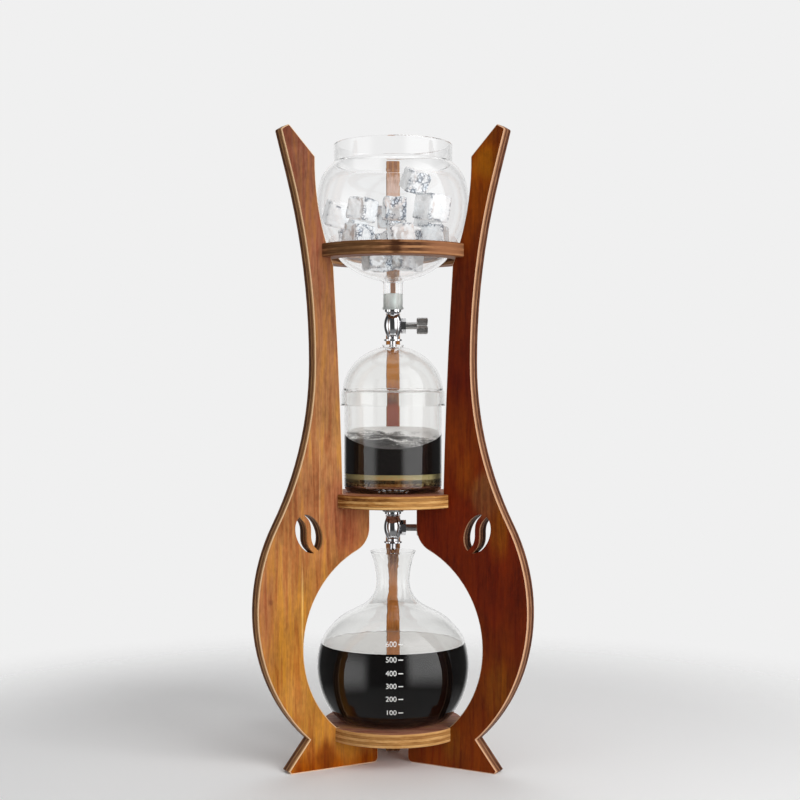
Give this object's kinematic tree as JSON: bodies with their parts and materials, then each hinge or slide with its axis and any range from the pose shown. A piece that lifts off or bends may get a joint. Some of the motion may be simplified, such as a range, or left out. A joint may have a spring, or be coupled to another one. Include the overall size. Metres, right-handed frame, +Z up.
{
  "type": "cold drip coffee tower",
  "caption": "Free-standing cold drip coffee tower: curved plywood legs and round shelves hold a glass ice globe, drip valves, a lidded brewing chamber and a round carafe.",
  "frame": {"origin": "on the common axis of the glass vessels, at floor level", "axes": "+Z up along the vessels' axis, rear leg towards +Y, valve knobs towards +X, carafe slides out towards -Y"},
  "size_m": [0.2106, 0.1843, 0.4874],
  "materials": {
    "plywood_legs": "stained plywood, satin varnish",
    "plywood_shelves": "stained plywood, satin varnish",
    "beech": "plain turned beech",
    "borosilicate_glass": "clear polished",
    "ice": "clear, wet",
    "silicone": "milky, matt",
    "chromed_brass": "polished",
    "turned_steel": "turned and knurled",
    "ptfe": "plain",
    "perforated_steel": "punched sheet",
    "filter_felt": "pressed felt",
    "wet_grounds": "granular, wet",
    "black_coffee": "liquid"
  },
  "bodies": {
    "root": {"leg_left": "plywood_legs", "leg_right": "plywood_legs", "leg_rear": "plywood_legs", "upper_ring": "plywood_shelves", "middle_shelf": "plywood_shelves", "base_shelf": "plywood_shelves", "ring_dowel_left": "beech", "ring_dowel_right": "beech", "ring_dowel_rear": "beech", "base_dowel_left": "beech", "base_dowel_right": "beech", "base_dowel_rear": "beech", "brew_chamber": "borosilicate_glass", "filtered_brew": "black_coffee", "filter_screen": "perforated_steel", "filter_cloth": "filter_felt", "coffee_grounds": "wet_grounds", "lower_stopper": "silicone", "lower_valve_body": "chromed_brass", "lower_drip_nozzle": "chromed_brass", "lower_gland_nut": "chromed_brass", "lower_packing_ring": "ptfe"},
    "globe": {"ice_globe": "borosilicate_glass", "ice_cube_01": "ice", "ice_cube_02": "ice", "ice_cube_03": "ice", "ice_cube_04": "ice", "ice_cube_05": "ice", "ice_cube_06": "ice", "ice_cube_07": "ice", "ice_cube_08": "ice", "ice_cube_09": "ice", "ice_cube_10": "ice", "ice_cube_11": "ice", "ice_cube_12": "ice", "ice_cube_13": "ice", "ice_cube_14": "ice", "ice_cube_15": "ice", "ice_cube_16": "ice", "ice_cube_17": "ice", "ice_cube_18": "ice", "ice_cube_19": "ice", "ice_cube_20": "ice", "upper_stopper": "silicone", "upper_valve_body": "chromed_brass", "upper_drip_nozzle": "chromed_brass", "upper_gland_nut": "chromed_brass", "upper_packing_ring": "ptfe"},
    "lid": {"chamber_lid": "borosilicate_glass"},
    "flask": {"carafe": "borosilicate_glass", "coffee": "black_coffee"},
    "upper_needle_slide": {"upper_needle": "turned_steel"},
    "upper_knob_turn": {"upper_stem": "turned_steel", "upper_knob": "turned_steel"},
    "lower_needle_slide": {"lower_needle": "turned_steel"},
    "lower_knob_turn": {"lower_stem": "turned_steel", "lower_knob": "turned_steel"}
  },
  "joints": [
    {"name": "globe_lift", "type": "slide", "parent": "root", "child": "globe", "axis": [0, 0, 1], "range_m": [0, 0.17]},
    {"name": "lid_lift", "type": "slide", "parent": "root", "child": "lid", "axis": [0, 0, 1], "range_m": [0, 0.13]},
    {"name": "carafe_slide_out", "type": "slide", "parent": "root", "child": "flask", "axis": [0, -1, 0], "range_m": [0, 0.19]},
    {"name": "upper_needle_travel", "type": "slide", "parent": "globe", "child": "upper_needle_slide", "axis": [1, 0, 0], "range_m": [-0.00053, 0.00158]},
    {"name": "upper_knob_turn", "type": "hinge", "parent": "upper_needle_slide", "child": "upper_knob_turn", "pos_m": [0.02, 0, 0.33867], "axis": [1, 0, 0], "range_deg": [-270, 810]},
    {"name": "lower_needle_travel", "type": "slide", "parent": "root", "child": "lower_needle_slide", "axis": [1, 0, 0], "range_m": [-0.00053, 0.00158]},
    {"name": "lower_knob_turn", "type": "hinge", "parent": "lower_needle_slide", "child": "lower_knob_turn", "pos_m": [0.02, 0, 0.1804], "axis": [1, 0, 0], "range_deg": [-270, 810]}
  ],
  "couplings": [
    {"joint": "lid_lift", "follows": "globe_lift", "ratio": 0.75},
    {"joint": "upper_needle_travel", "follows": "upper_knob_turn", "m_per_rad": 0.00011141},
    {"joint": "lower_needle_travel", "follows": "lower_knob_turn", "m_per_rad": 0.00011141}
  ]
}
